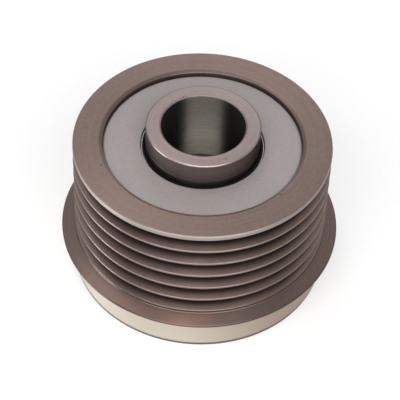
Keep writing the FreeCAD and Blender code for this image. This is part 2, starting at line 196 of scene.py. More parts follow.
class Effect:
    """A shader node group that several finishes share, built once."""

    name: ClassVar[str] = ""
    takes: ClassVar[tuple[tuple[str, float], ...]] = ()
    gives: ClassVar[tuple[str, ...]] = ("Mask",)

    @classmethod
    def tree(cls) -> bpy.types.NodeTree:
        """Find the group's tree, or make it at its first use.

        Returns:
            The tree.
        """
        found = bpy.data.node_groups.get(cls.name)
        if found:
            return found
        tree = bpy.data.node_groups.new(cls.name, "ShaderNodeTree")
        for name, value in cls.takes:
            socket = tree.interface.new_socket(name, in_out="INPUT", socket_type="NodeSocketFloat")
            socket.default_value = value
        for name in cls.gives:
            tree.interface.new_socket(name, in_out="OUTPUT", socket_type="NodeSocketFloat")
        graph = Graph(tree)
        entry = tree.nodes.new("NodeGroupInput")
        leave = tree.nodes.new("NodeGroupOutput")
        for name, value in cls.wire(graph, entry.outputs).items():
            graph.feed(leave.inputs[name], value)
        return tree

    @classmethod
    def wire(cls, graph: Graph, given: bpy.types.NodeOutputs) -> dict[str, Socket]:
        """Fill the group and return what goes to each of its outputs."""
        raise NotImplementedError

    @classmethod
    def use(cls, graph: Graph, **values: float) -> bpy.types.NodeOutputs:
        """Place the group in a material.

        Args:
            graph: the material's graph.
            values: the group's inputs, with an underscore for a space.

        Returns:
            The placed group's outputs.
        """
        node = graph.tree.nodes.new("ShaderNodeGroup")
        node.node_tree = cls.tree()
        for name, value in values.items():
            node.inputs[name.replace("_", " ").capitalize()].default_value = value
        return node.outputs


class TurningMarks(Effect):
    """Fine rings that a lathe tool leaves round the axis, on flat and round faces alike."""

    name = "turning marks"
    takes = (("Pitch", 0.05), ("Runout", 0.6))
    gives = ("Height", "Tone")
    coarseness: ClassVar[dict[str, float]] = {"Height": 1.0, "Tone": 9.0}

    @classmethod
    def wire(cls, graph: Graph, given: bpy.types.NodeOutputs) -> dict[str, Socket]:
        """Stretch noise into rings: it runs fast across them and slowly along them.

        Args:
            graph: the group's graph.
            given: the group's own inputs.

        Returns:
            What goes to each output.
        """
        radius, height = graph.round_place()
        x, y, _ = graph.axes()
        turn = graph.calc("ARCTAN2", y, x)
        along = graph.times(graph.calc("COSINE", turn), given["Runout"])
        aside = graph.times(graph.calc("SINE", turn), given["Runout"])
        outputs = {}
        for name, coarseness in cls.coarseness.items():
            pitch = graph.times(given["Pitch"], coarseness)
            across = graph.calc("DIVIDE", radius, pitch)
            up = graph.calc("DIVIDE", height, pitch)
            ring = graph.add("CombineXYZ", {"X": across, "Y": up, "Z": along}).outputs[0]
            inputs = {"Vector": ring, "W": aside, "Scale": 1.0, "Detail": 2.0}
            noise = graph.add("TexNoise", inputs, noise_dimensions="4D")
            outputs[name] = noise.outputs["Fac"]
        return outputs


class EdgeWearAndGlint(Effect):
    """Pale metal along sharp edges, broken up by noise: scuffed metal, and a painted highlight."""

    name = "edge wear"
    takes = (("Width", 0.3), ("Gain", 4.0), ("Breakup", 0.5))
    patch_scale: ClassVar[float] = 900.0
    patch_span: ClassVar[Span] = (0.42, 0.62)

    @classmethod
    def wire(cls, graph: Graph, given: bpy.types.NodeOutputs) -> dict[str, Socket]:
        """Compare the surface's normal with the normal of a softly rounded edge.

        Args:
            graph: the group's graph.
            given: the group's own inputs.

        Returns:
            What goes to the output.
        """
        reach = graph.times(given["Width"], MM)
        soft = graph.add("Bevel", {"Radius": reach}, samples=6).outputs["Normal"]
        hard = graph.add("NewGeometry").outputs["Normal"]
        both = graph.add("VectorMath", {0: soft, 1: hard}, operation="DOT_PRODUCT").outputs
        bend = graph.calc("SUBTRACT", 1.0, both["Value"])
        edge = graph.calc("MULTIPLY", bend, given["Gain"], clamp=True)
        patches = graph.noise(graph.place(), cls.patch_scale, 3.0)
        gaps = graph.times(graph.ramp(patches, *cls.patch_span), given["Breakup"])
        return {"Mask": graph.times(edge, graph.calc("SUBTRACT", 1.0, gaps))}


class Grain(Effect):
    """Even fine grain of a blasted, phosphated or moulded face."""

    name = "grain"
    takes = (("Scale", 6000.0),)
    gives = ("Height", "Tone")
    tone_share: ClassVar[float] = 0.22

    @classmethod
    def wire(cls, graph: Graph, given: bpy.types.NodeOutputs) -> dict[str, Socket]:
        """Make fine noise for the height, and a coarser one for the tone.

        Args:
            graph: the group's graph.
            given: the group's own inputs.

        Returns:
            What goes to each output.
        """
        broad = graph.times(given["Scale"], cls.tone_share)
        return {
            "Height": graph.noise(graph.place(), given["Scale"], 3.0, 0.6),
            "Tone": graph.noise(graph.place(), broad, 3.0, 0.6),
        }


class Handling(Effect):
    """Large soft patches where lubricant and hands have dulled a face."""

    name = "handling"
    takes = (("Scale", 70.0),)
    bend_scale: ClassVar[float] = 45.0
    bend_reach: ClassVar[float] = 0.02
    patch_span: ClassVar[Span] = (0.35, 0.68)

    @classmethod
    def wire(cls, graph: Graph, given: bpy.types.NodeOutputs) -> dict[str, Socket]:
        """Warp the place a little, so that the patches don't look round.

        Args:
            graph: the group's graph.
            given: the group's own inputs.

        Returns:
            What goes to the output.
        """
        noise = {"Vector": graph.place(), "Scale": cls.bend_scale}
        bend = graph.add("TexNoise", noise).outputs["Color"]
        reach = {0: bend, "Scale": cls.bend_reach}
        shift = graph.add("VectorMath", reach, operation="SCALE").outputs[0]
        where = graph.add("VectorMath", {0: graph.place(), 1: shift}, operation="ADD").outputs[0]
        return {"Mask": graph.ramp(graph.noise(where, given["Scale"], 3.0), *cls.patch_span)}


class Specks(Effect):
    """Rare tiny pits and grains of dust."""

    name = "specks"
    takes = (("Spacing", 2.2), ("Size", 0.16), ("Share", 0.12))

    @classmethod
    def wire(cls, graph: Graph, given: bpy.types.NodeOutputs) -> dict[str, Socket]:
        """Keep a small disc at the heart of a few cells.

        Args:
            graph: the group's graph.
            given: the group's own inputs.

        Returns:
            What goes to the output.
        """
        density = graph.calc("DIVIDE", 1 / MM, given["Spacing"])
        cells = graph.add("TexVoronoi", {"Vector": graph.place(), "Scale": density}).outputs
        reach = graph.calc("DIVIDE", given["Size"], given["Spacing"])
        inside = graph.calc("LESS_THAN", cells["Distance"], reach)
        draw = graph.add("SeparateColor", {"Color": cells["Color"]}).outputs[0]
        chosen = graph.calc("LESS_THAN", draw, given["Share"])
        return {"Mask": graph.times(inside, chosen)}


@dataclass(frozen=True)
class Finish:
    """What every finish of this pulley has: a colour that varies, gloss and fine relief."""

    name: str
    colour: Colour
    roughness: float = 0.4
    roughness_spread: float = 0.12
    tone_spread: float = 0.15
    grain_scale: float = 6000.0
    grain_depth_mm: float = 0.004
    metallic: float = 1.0
    specular: float = 0.5

    def tint(self, graph: Graph) -> Socket:
        """Make the base colour a little darker and lighter with the grain's broad tone.

        Args:
            graph: the material's graph.

        Returns:
            The colour.
        """
        tone = Grain.use(graph, scale=self.grain_scale)["Tone"]
        level = graph.ramp(tone, *NOISE_SPAN, 1 - self.tone_spread, 1 + self.tone_spread)
        return graph.scaled(self.colour, level)

    def gloss(self, graph: Graph) -> Socket:
        """Raise the roughness in the handled patches.

        Args:
            graph: the material's graph.

        Returns:
            The roughness.
        """
        patches = Handling.use(graph)["Mask"]
        most = self.roughness + self.roughness_spread
        return graph.ramp(patches, 0.0, 1.0, self.roughness, most)

    def relief(self, graph: Graph) -> Socket:
        """Roughen the normal with the grain.

        Args:
            graph: the material's graph.

        Returns:
            The normal.
        """
        grain = Grain.use(graph, scale=self.grain_scale)["Height"]
        inputs = {"Height": grain, "Distance": self.grain_depth_mm * MM, "Strength": 1.0}
        return graph.add("Bump", inputs).outputs["Normal"]

    def material(self) -> bpy.types.Material:
        """Find the finish's material, or make it at its first use.

        Returns:
            The material.
        """
        found = bpy.data.materials.get(self.name)
        if found:
            return found
        made = bpy.data.materials.new(self.name)
        made.use_nodes = True
        graph = Graph(made.node_tree)
        shader = made.node_tree.nodes["Principled BSDF"]
        shader.inputs["Metallic"].default_value = self.metallic
        shader.inputs["Specular IOR Level"].default_value = self.specular
        graph.feed(shader.inputs["Base Color"], self.tint(graph))
        graph.feed(shader.inputs["Roughness"], self.gloss(graph))
        graph.feed(shader.inputs["Normal"], self.relief(graph))
        self.complete(graph, shader)
        return made

    def complete(self, graph: Graph, shader: bpy.types.Node) -> None:
        """Set what only some finishes have; the plain one has nothing more."""


@dataclass(frozen=True)
class TurnedSteel(Finish):
    """Steel from the lathe, with rings round the axis, pale edges (scuffed metal and a painted
    highlight) and a few specks.
    """

    # Colour of the pale edges: scuffed metal, and a painted highlight.
    wear_and_glint_colour: Colour = grey(0.5, 0.05)
    ring_pitch_mm: float = 0.05
    ring_depth_mm: float = 0.0012
    ring_tone: float = 0.1
    edge_width_mm: float = 0.2
    edge_gain: float = 5.0
    speck_share: float = 0.1
    speck_colour: Colour = grey(0.03)
    anisotropy: float = 0.0
    anisotropy_turn: float = 0.25
    edge_tint: Colour = grey(1.0)

    def tint(self, graph: Graph) -> Socket:
        """Lay rings, pale edges (scuffed metal and a painted highlight) and specks over the grain.

        Args:
            graph: the material's graph.

        Returns:
            The colour.
        """
        rings = TurningMarks.use(graph, pitch=self.ring_pitch_mm)["Tone"]
        shade = graph.ramp(rings, *NOISE_SPAN, 1 - self.ring_tone, 1 + self.ring_tone)
        ringed = graph.scaled(super().tint(graph), shade)
        # Pale edges: partly scuffed metal, partly a painted highlight.
        wear_and_glint = EdgeWearAndGlint.use(graph, width=self.edge_width_mm, gain=self.edge_gain)["Mask"]
        highlighted = graph.blend(wear_and_glint, self.zones(graph, ringed), self.wear_and_glint_colour)
        specks = Specks.use(graph, share=self.speck_share)["Mask"]
        return graph.blend(specks, highlighted, self.speck_colour)

    def zones(self, graph: Graph, colour: Socket) -> Socket:
        """Change the colour on parts of the piece; plain turned steel is alike all over."""
        return colour

    def relief(self, graph: Graph) -> Socket:
        """Cut the rings into the grain's relief.

        Args:
            graph: the material's graph.

        Returns:
            The normal.
        """
        rings = TurningMarks.use(graph, pitch=self.ring_pitch_mm)["Height"]
        inputs = {"Height": rings, "Distance": self.ring_depth_mm * MM, "Strength": 1.0,
                  "Normal": super().relief(graph)}
        return graph.add("Bump", inputs).outputs["Normal"]

    def complete(self, graph: Graph, shader: bpy.types.Node) -> None:
        """Stretch the gloss across the rings.

        Args:
            graph: the material's graph.
            shader: the material's Principled BSDF.
        """
        shader.inputs["Anisotropic"].default_value = self.anisotropy
        shader.inputs["Anisotropic Rotation"].default_value = self.anisotropy_turn
        shader.inputs["Specular Tint"].default_value = self.edge_tint
        tangent = graph.add("Tangent", direction_type="RADIAL", axis="Z")
        graph.feed(shader.inputs["Tangent"], tangent.outputs[0])


@dataclass(frozen=True)
class RimSteel(TurnedSteel):
    """The rim's brown-grey steel: painted shade in the grooves, and a painted reflection of the
    floor that lightens the front band.
    """

    # Dark tone of painted shade: in the grooves, over the flange, at the band's foot and in the
    # recess mouth; it also darkens the flange's outer edge.
    painted_shade: Colour = (0.034, 0.026, 0.025, 1.0)
    rib_radius_mm: float = 25.95
    groove_depth_mm: Span = (0.2, 2.0)
    groove_shade: float = 0.95
    groove_radius_mm: float = 22.0
    groove_top_mm: float = 32.8
    crest_mm: float = 0.1
    crest_share: Span = (0.1, 0.32)
    crest_heights_mm: Span = (12.0, 26.0)
    last_crest_mm: float = 11.2
    flange_top_mm: Span = (11.0, 10.7)
    flange_slope_mm: Span = (10.4, 10.1)
    flange_low_mm: Span = (9.0, 9.3)
    flange_shade: float = 0.33
    flange_edge_mm: float = 28.5
    flange_edge_darkening: float = 0.4
    corner_mm: Span = (26.0, 26.2)
    corner_shade: float = 0.5
    red_tint: Colour = (0.25, 0.148, 0.122, 1.0)
    tint_turn: float = math.radians(-110)
    tint_spread: Span = (0.2, 0.75)
    tint_patches: float = 60.0
    tint_least: float = 0.35
    # Painted reflection of the pale floor, which lightens the front band.
    floor_reflection: Colour = (0.59, 0.535, 0.455, 1.0)
    # Painted shade on the band's right side.
    shaded_side: Colour = (0.338, 0.253, 0.201, 1.0)
    side_shade_span_mm: Span = (-6.5, 23.5)
    band_height_mm: float = 8.9
    face_radius_mm: float = 20.6
    band_foot_mm: Span = (1.2, 0.8)
    foot_shade: float = 0.8
    foot_radius_mm: float = 25.9
    mouth_mm: Span = (20.75, 20.6)
    mouth_low_mm: float = 30.84
    mouth_turn_mm: Span = (-14.0, 0.0)
    mouth_shade: float = 0.4
    top_land_mm: float = 31.84
    edge_mm: Span = (25.65, 25.9)
    # Painted highlight along the rear face's outer edge and on the ribs' crests.
    highlighted: Colour = (0.305, 0.262, 0.246, 1.0)
    highlight_roughness: float = 0.6

    def zones(self, graph: Graph, colour: Socket) -> Socket:
        """Paint shade in the grooves, then dress flange, front band and recess, and paint
        highlights on the edges.

        Args:
            graph: the material's graph.
            colour: the colour so far.

        Returns:
            The dressed colour.
        """
        radius, height = graph.round_place()
        # Painted shade: darker the deeper a point lies in a groove.
        depth = graph.calc("SUBTRACT", self.rib_radius_mm, radius)
        share = graph.times(graph.ramp(depth, *self.groove_depth_mm, 0.0, self.groove_shade),
                            graph.calc("GREATER_THAN", radius, self.groove_radius_mm),
                            graph.calc("LESS_THAN", height, self.groove_top_mm))
        dressed = graph.blend(share, colour, self.painted_shade)
        for dress in (self.flange, self.front_band, self.recess_mouth):
            dressed = dress(graph, dressed)
        return graph.blend(self.highlight_zone(graph), dressed, self.highlighted)

    def flange(self, graph: Graph, colour: Socket) -> Socket:
        """Paint shade over the flange's slope, strongest in the corner at its foot, darken its
        outer edge, and lay a faint rust tint on the front of its slope.

        Args:
            graph: the material's graph.
            colour: the colour so far.

        Returns:
            The colour with the flange dressed.
        """
        radius, height = graph.round_place()
        # Painted shade over the flange's slope, strongest in the corner at its foot.
        low = graph.ramp(height, *self.flange_low_mm)
        shade_depth = graph.ramp(radius, *self.corner_mm, self.corner_shade, self.flange_shade)
        share = graph.times(graph.ramp(height, *self.flange_top_mm), low, shade_depth)
        dimmed = graph.blend(share, colour, self.painted_shade)
        x, y, _ = graph.axes()
        turn = graph.calc("SUBTRACT", graph.calc("ARCTAN2", y, x), self.tint_turn)
        near = graph.ramp(graph.calc("ABSOLUTE", turn), *self.tint_spread, 1.0, 0.0)
        patches = Handling.use(graph, scale=self.tint_patches)["Mask"]
        share = graph.times(graph.ramp(height, *self.flange_slope_mm), low, near,
                            graph.ramp(patches, 0.0, 1.0, self.tint_least, 1.0))
        tinted = graph.blend(share, dimmed, self.red_tint)
        # The flange's outer edge is darker.
        edge = graph.calc("GREATER_THAN", radius, self.flange_edge_mm)
        return graph.blend(graph.times(edge, self.flange_edge_darkening), tinted, self.painted_shade)

    def front_band(self, graph: Graph, colour: Socket) -> Socket:
        """Lighten the band with a painted reflection of the floor, and paint shade towards one
        side and at its foot.

        Args:
            graph: the material's graph.
            colour: the colour so far.

        Returns:
            The colour with the band dressed.
        """
        radius, height = graph.round_place()
        x, _, _ = graph.axes()
        # Painted shade towards the band's right side.
        side_shading = graph.ramp(graph.calc("DIVIDE", x, MM), *self.side_shade_span_mm)
        band_light = graph.blend(side_shading, self.floor_reflection, self.shaded_side)
        # Painted shade at the band's foot, next to the floor.
        foot = graph.times(graph.ramp(height, *self.band_foot_mm, 0.0, self.foot_shade),
                           graph.calc("GREATER_THAN", radius, self.foot_radius_mm))
        wall = graph.blend(foot, band_light, self.painted_shade)
        band = graph.times(graph.calc("LESS_THAN", height, self.band_height_mm),
                           graph.calc("GREATER_THAN", radius, self.face_radius_mm))
        return graph.blend(band, colour, wall)

    def recess_mouth(self, graph: Graph, colour: Socket) -> Socket:
        """Paint shade on the mouth of the rear recess, towards the back.

        Args:
            graph: the material's graph.
            colour: the colour so far.

        Returns:
            The colour with the mouth dressed.
        """
        radius, height = graph.round_place()
        _, y, _ = graph.axes()
        # Painted shade on the recess mouth, darker towards the back.
        share = graph.times(graph.ramp(radius, *self.mouth_mm),
                            graph.calc("GREATER_THAN", height, self.mouth_low_mm),
                            graph.ramp(graph.calc("DIVIDE", y, MM), *self.mouth_turn_mm,
                                       0.0, self.mouth_shade))
        return graph.blend(share, colour, self.painted_shade)

    def highlight_zone(self, graph: Graph) -> Socket:
        """Find where a highlight is painted: all below the rear face's rounding, some on the ribs'
        crests.

        Args:
            graph: the material's graph.

        Returns:
            How strong the painted highlight is, from 0 to 1.
        """
        radius, height = graph.round_place()
        # Painted highlight on the rear face's outer edge and the ribs' crests.
        edge = graph.times(graph.ramp(radius, *self.edge_mm),
                           graph.calc("GREATER_THAN", height, self.top_land_mm))
        crest = graph.times(graph.calc("COMPARE", radius, self.rib_radius_mm, self.crest_mm),
                            graph.calc("GREATER_THAN", height, self.last_crest_mm))
        share = graph.ramp(height, *self.crest_heights_mm, *self.crest_share)
        return graph.calc("MAXIMUM", edge, graph.times(crest, share))

    def gloss(self, graph: Graph) -> Socket:
        """The roughness, higher where the highlight is painted."""
        extra = graph.times(self.highlight_zone(graph), self.highlight_roughness - self.roughness)
        return graph.calc("ADD", super().gloss(graph), extra)


@dataclass(frozen=True)
class HubSteel(TurnedSteel):
    """The hub's ground steel, with painted shade on the collar's side and in the bore's mouth."""

    # Dark tone of painted shade on the collar's side and the bore's lead-in.
    hub_shade: Colour = (0.1, 0.085, 0.08, 1.0)
    side_top_mm: Span = (36.7, 36.5)
    side_low_mm: Span = (30.0, 31.0)
    side_shade_heights_mm: Span = (36.2, 32.0)
    side_shade_share: Span = (0.3, 0.75)
    mouth_mm: float = 8.76
    mouth_shade: float = 0.35

    def zones(self, graph: Graph, colour: Socket) -> Socket:
        """Paint shade on the side, most of all near the seal, and on the lead-in of the bore.

        Args:
            graph: the material's graph.
            colour: the colour so far.

        Returns:
            The dressed colour.
        """
        radius, height = graph.round_place()
        # Painted shade on the collar's side, darkest near the seal.
        side = graph.times(graph.ramp(height, *self.side_shade_heights_mm, *self.side_shade_share),
                           graph.ramp(height, *self.side_top_mm),
                           graph.ramp(height, *self.side_low_mm))
        # Painted shade on the bore's lead-in.
        mouth = graph.times(graph.calc("LESS_THAN", radius, self.mouth_mm), self.mouth_shade)
        return graph.blend(graph.calc("MAXIMUM", side, mouth), colour, self.hub_shade)


@dataclass(frozen=True)
class BoreSteel(TurnedSteel):
    """The bore's coarse turned wall, with painted shade towards its mouth and on two sides, and
    the thread below it painted darker as shade.
    """

    # Painted shade on the thread deep in the bore.
    thread_colour: Colour = grey(0.06)
    bottom_mm: float = 20.5
    top_mm: float = 36.4
    # Painted shade: the wall is darker towards the mouth and lighter towards the bottom.
    top_shade: float = 0.5
    # Painted shade on the bore's two sides.
    bore_side_shade: Colour = (0.016, 0.014, 0.013, 1.0)
    bore_side_shade_share: float = 0.85
    bore_side_edges: Span = (0.36, 0.66)

    def zones(self, graph: Graph, colour: Socket) -> Socket:
        """Paint shade that grows towards the mouth and on the two sides, and paint the thread
        darker as shade.

        Args:
            graph: the material's graph.
            colour: the colour so far.

        Returns:
            The dressed colour.
        """
        radius, height = graph.round_place()
        # Painted shade: darker towards the mouth, lighter towards the bottom.
        clear = graph.ramp(height, self.bottom_mm, self.top_mm, 1.0, 1 - self.top_shade)
        top_shaded = graph.scaled(colour, clear)
        # Painted shade on the two sides of the bore.
        x, _, _ = graph.axes()
        aside = graph.calc("DIVIDE", graph.calc("ABSOLUTE", graph.calc("DIVIDE", x, MM)), radius)
        share = graph.ramp(aside, *self.bore_side_edges, 0.0, self.bore_side_shade_share)
        side_shaded = graph.blend(share, top_shaded, self.bore_side_shade)
        # Painted shade on the thread deep in the bore.
        below = graph.calc("LESS_THAN", height, self.bottom_mm)
        return graph.blend(below, side_shaded, self.thread_colour)


class Palette:
    """The finishes of this pulley, by the record's material slots."""

    rim = RimSteel("rim steel", (0.168, 0.122, 0.108, 1.0), roughness=0.34, roughness_spread=0.06,
                   tone_spread=0.05, ring_tone=0.04, grain_depth_mm=0.001, wear_and_glint_colour=grey(0.2, 0.12),
                   edge_gain=1.5, anisotropy=0.6)
    hub = HubSteel("hub steel", (0.242, 0.198, 0.189, 1.0), roughness=0.32, roughness_spread=0.06,
                   tone_spread=0.05, ring_tone=0.05, grain_depth_mm=0.001, wear_and_glint_colour=grey(0.26, 0.1),
                   edge_gain=0.6, anisotropy=0.3, edge_tint=grey(0.25))
    bore = BoreSteel("bore steel", (0.21, 0.191, 0.162, 1.0), roughness=0.58,
                     roughness_spread=0.05, tone_spread=0.05, ring_tone=0.09, ring_pitch_mm=0.03,
                     grain_depth_mm=0.001, wear_and_glint_colour=grey(0.2, 0.1), edge_gain=0.5, anisotropy=1.0,
                     edge_tint=grey(0.0))
    plate = Finish("plate steel", (0.278, 0.248, 0.24, 1.0), roughness=0.6, tone_spread=0.05,
                   grain_scale=7000.0, grain_depth_mm=0.004, metallic=0.4)
    rubber = Finish("seal rubber", grey(0.005), roughness=0.5, metallic=0.0, specular=0.06,
                    grain_depth_mm=0.0005)
    washer = TurnedSteel("washer steel", grey(0.45, 0.03), roughness=0.35)
    bearing = TurnedSteel("bearing steel", grey(0.42), roughness=0.26, ring_tone=0.04)
    plastic = Finish("cage plastic", grey(0.09, 0.12), roughness=0.45, metallic=0.0,
                     grain_depth_mm=0.006)
    spring = Finish("spring steel", grey(0.28, 0.05), roughness=0.28, grain_depth_mm=0.001)


SLOT_FINISH: dict[str, Finish] = {
    "rim_steel": Palette.rim,
    "hub_steel": Palette.hub,
    "plate_steel": Palette.plate,
    "seal_rubber": Palette.rubber,
    "washer_steel": Palette.washer,
    "bearing_steel": Palette.bearing,
    "cage_plastic": Palette.plastic,
    "spring_steel": Palette.spring,
}


@dataclass(frozen=True)
class Corner:
    """A corner of a turned section, in millimetres, cut back by round where it is rounded."""

    radius: float
    height: float
    round: float = 0.0


class Lathe:
    """Turns sections of corners about the axis."""

    def __init__(self, steps: int = 256, segments: int = 4) -> None:
        """Keep the number of steps round the axis and of facets in a rounding."""
        self.steps = steps
        self.segments = segments

    def section(self, corners: Sequence[Corner], closed: bool = True) -> Shape:
        """Draw a section in the XZ plane and round its corners.

        Args:
            corners: the section's corners in order.
            closed: whether the last corner joins the first.

        Returns:
            A mesh of edges only, in millimetres.
        """
        bm = bmesh.new()
        points = [bm.verts.new((c.radius, 0, c.height)) for c in corners]
        follow = points[1:] + points[:1] if closed else points[1:]
        for tail, head in zip(points, follow):
            bm.edges.new((tail, head))
        for size in sorted({c.round for c in corners if c.round}):
            chosen = [p for p, c in zip(points, corners) if c.round == size]
            bmesh.ops.bevel(bm, geom=chosen, offset=size, offset_type="OFFSET",
                            segments=self.segments, profile=0.5, affect="VERTICES", material=-1)
        return bm

    def turn(self, bm: Shape) -> Shape:
        """Spin a section all the way round.

        Args:
            bm: the section, which becomes the turned mesh.

        Returns:
            The same mesh.
        """
        bmesh.ops.spin(bm, geom=bm.verts[:] + bm.edges[:], cent=(0, 0, 0), axis=UPRIGHT,
                       dvec=(0, 0, 0), angle=2 * math.pi, steps=self.steps,
                       space=Matrix.Identity(4), use_merge=True, use_normal_flip=False,
                       use_duplicate=False)
        bmesh.ops.remove_doubles(bm, verts=bm.verts, dist=WELD_MM)
        return bm

    def ring(self, corners: Sequence[Corner]) -> Shape:
        """A whole turned ring from the corners of its section."""
        return self.turn(self.section(corners))


def finished(bm: Shape, name: str, *finishes: Finish) -> bpy.types.Object:
    """Turn a mesh in millimetres into a shaded piece at the origin.

    Args:
        bm: the mesh, which is used up.
        name: the piece's name.
        finishes: the finishes that it wears, in the order of its faces' material numbers.

    Returns:
        The new object.
    """
    bmesh.ops.recalc_face_normals(bm, faces=bm.faces)
    bmesh.ops.scale(bm, vec=(MM, MM, MM), verts=bm.verts)
    for face in bm.faces:
        face.smooth = True
    for edge in bm.edges:
        edge.smooth = edge.calc_face_angle(math.pi) < SMOOTH_LIMIT
    mesh = bpy.data.meshes.new(name)
    bm.to_mesh(mesh)
    bm.free()
    for finish in finishes:
        mesh.materials.append(finish.material())
    piece = bpy.data.objects.new(name, mesh)
    bpy.context.scene.collection.objects.link(piece)
    weighted = piece.modifiers.new("even shading", "WEIGHTED_NORMAL")
    weighted.keep_sharp = True
    return piece


@dataclass
class Mount:
    """Where a piece goes: its body, its material slot and the CAD node that it stands for."""

    body: str
    slot: str
    node: str = ""

    def seat(self, piece: bpy.types.Object) -> None:
        """Ride the piece on its body and hide the node that it replaces.

        Args:
            piece: the finished piece.
        """
        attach(piece, self.body)
        if self.node:
            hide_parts(self.node)
        log.info("%s rides on %s", piece.name, self.body)


@dataclass
class Rim:
    """The grooved rim: flange, front band, seats for sleeve and plates, and the cap recess."""

    rib_radius: float = 25.95
    root_radius: float = 22.5
    band_radius: float = 26.15
    root_width: float = 0.64
    half_angle: float = math.radians(20)
    crest_round: float = 0.14
    root_round: float = 0.26
    pitch: float = 3.56
    grooves: int = 6
    top: float = 32.85
    top_round: float = 0.45
    first_groove: float = 2.6
    recess_radius: float = 20.0
    mouth_width: float = 0.75
    mouth_drop: float = 0.28
    mouth_rounds: Span = (0.1, 0.2)
    foot_round: float = 0.2
    flange_radius: float = 28.7
    flange_foot_drop: float = 0.5
    flange_drop: float = 0.85
    flange_edge: float = 0.45
    flange_depth: float = 0.8
    flange_chamfer: float = 0.35
    flange_round: float = 0.16
    band_round: float = 0.25
    front_chamfer: float = 0.4
    soft: float = 0.12
    cap_radius: float = 20.5
    cap_depth: float = 4.8
    cap_round: float = 0.1
    snap_radius: float = 21.0
    snap_heights: tuple[float, float, float, float] = (1.8, 1.925, 2.675, 2.8)
    snap_round: float = 0.08
    sleeve_radius: float = 18.9
    sleeve_ends: Span = (7.4, 29.2)
    lathe: Lathe = field(default_factory=lambda: Lathe(steps=288))

    def groove(self, middle: float) -> list[Corner]:
        """Place the corners of one belt groove.

        Args:
            middle: the height of the groove's middle.

        Returns:
            Its four corners, from the upper edge to the lower one.
        """
        root = self.root_width / 2
        mouth = root + (self.rib_radius - self.root_radius) * math.tan(self.half_angle)
        return [
            Corner(self.rib_radius, middle + mouth, self.crest_round),
            Corner(self.root_radius, middle + root, self.root_round),
            Corner(self.root_radius, middle - root, self.root_round),
            Corner(self.rib_radius, middle - mouth, self.crest_round),
        ]

    def outside(self) -> list[Corner]:
        """Place the corners of the rim's outside.

        Returns:
            Its corners, from the rear face down to the front face.
        """
        low, high = self.mouth_rounds
        corners = [Corner(self.recess_radius, self.top - self.mouth_drop, low),
                   Corner(self.recess_radius + self.mouth_width, self.top, high),
                   Corner(self.rib_radius, self.top, self.top_round)]
        for number in range(self.grooves):
            corners += self.groove(self.top - self.first_groove - number * self.pitch)
        foot = corners[-1].height - self.flange_foot_drop
        edge = foot - self.flange_drop
        under = edge - self.flange_depth
        corners += [
            Corner(self.rib_radius, foot, self.foot_round),
            Corner(self.flange_radius, edge, self.flange_round),
            Corner(self.flange_radius, edge - self.flange_edge, self.soft),
            Corner(self.flange_radius - self.flange_chamfer, under, self.soft),
            Corner(self.band_radius, under, self.band_round),
            Corner(self.band_radius, self.front_chamfer, self.soft),
            Corner(self.band_radius - self.front_chamfer, 0.0, self.soft),
        ]
        return corners

    def inside(self) -> list[Corner]:
        """Place the corners of the rim's inside.

        Returns:
            Its corners, from the front face up to the rear recess.
        """
        outer, inner = self.snap_radius, self.cap_radius
        snap = zip((inner, outer, outer, inner), self.snap_heights)
        front, rear = self.sleeve_ends
        return [
            Corner(inner + self.front_chamfer, 0.0, self.soft),
            Corner(inner, self.front_chamfer, self.soft),
            *(Corner(radius, height, self.snap_round) for radius, height in snap),
            Corner(inner, self.cap_depth, self.cap_round),
            Corner(self.recess_radius, self.cap_depth),
            Corner(self.recess_radius, front),
            Corner(self.sleeve_radius, front),
            Corner(self.sleeve_radius, rear),
            Corner(self.recess_radius, rear),
        ]

    def build(self) -> None:
        """Make the rim."""
        bm = self.lathe.ring(self.outside() + self.inside())
        Mount("rim", "rim_steel", "pulley_rim").seat(finished(bm, "turned_rim", Palette.rim))


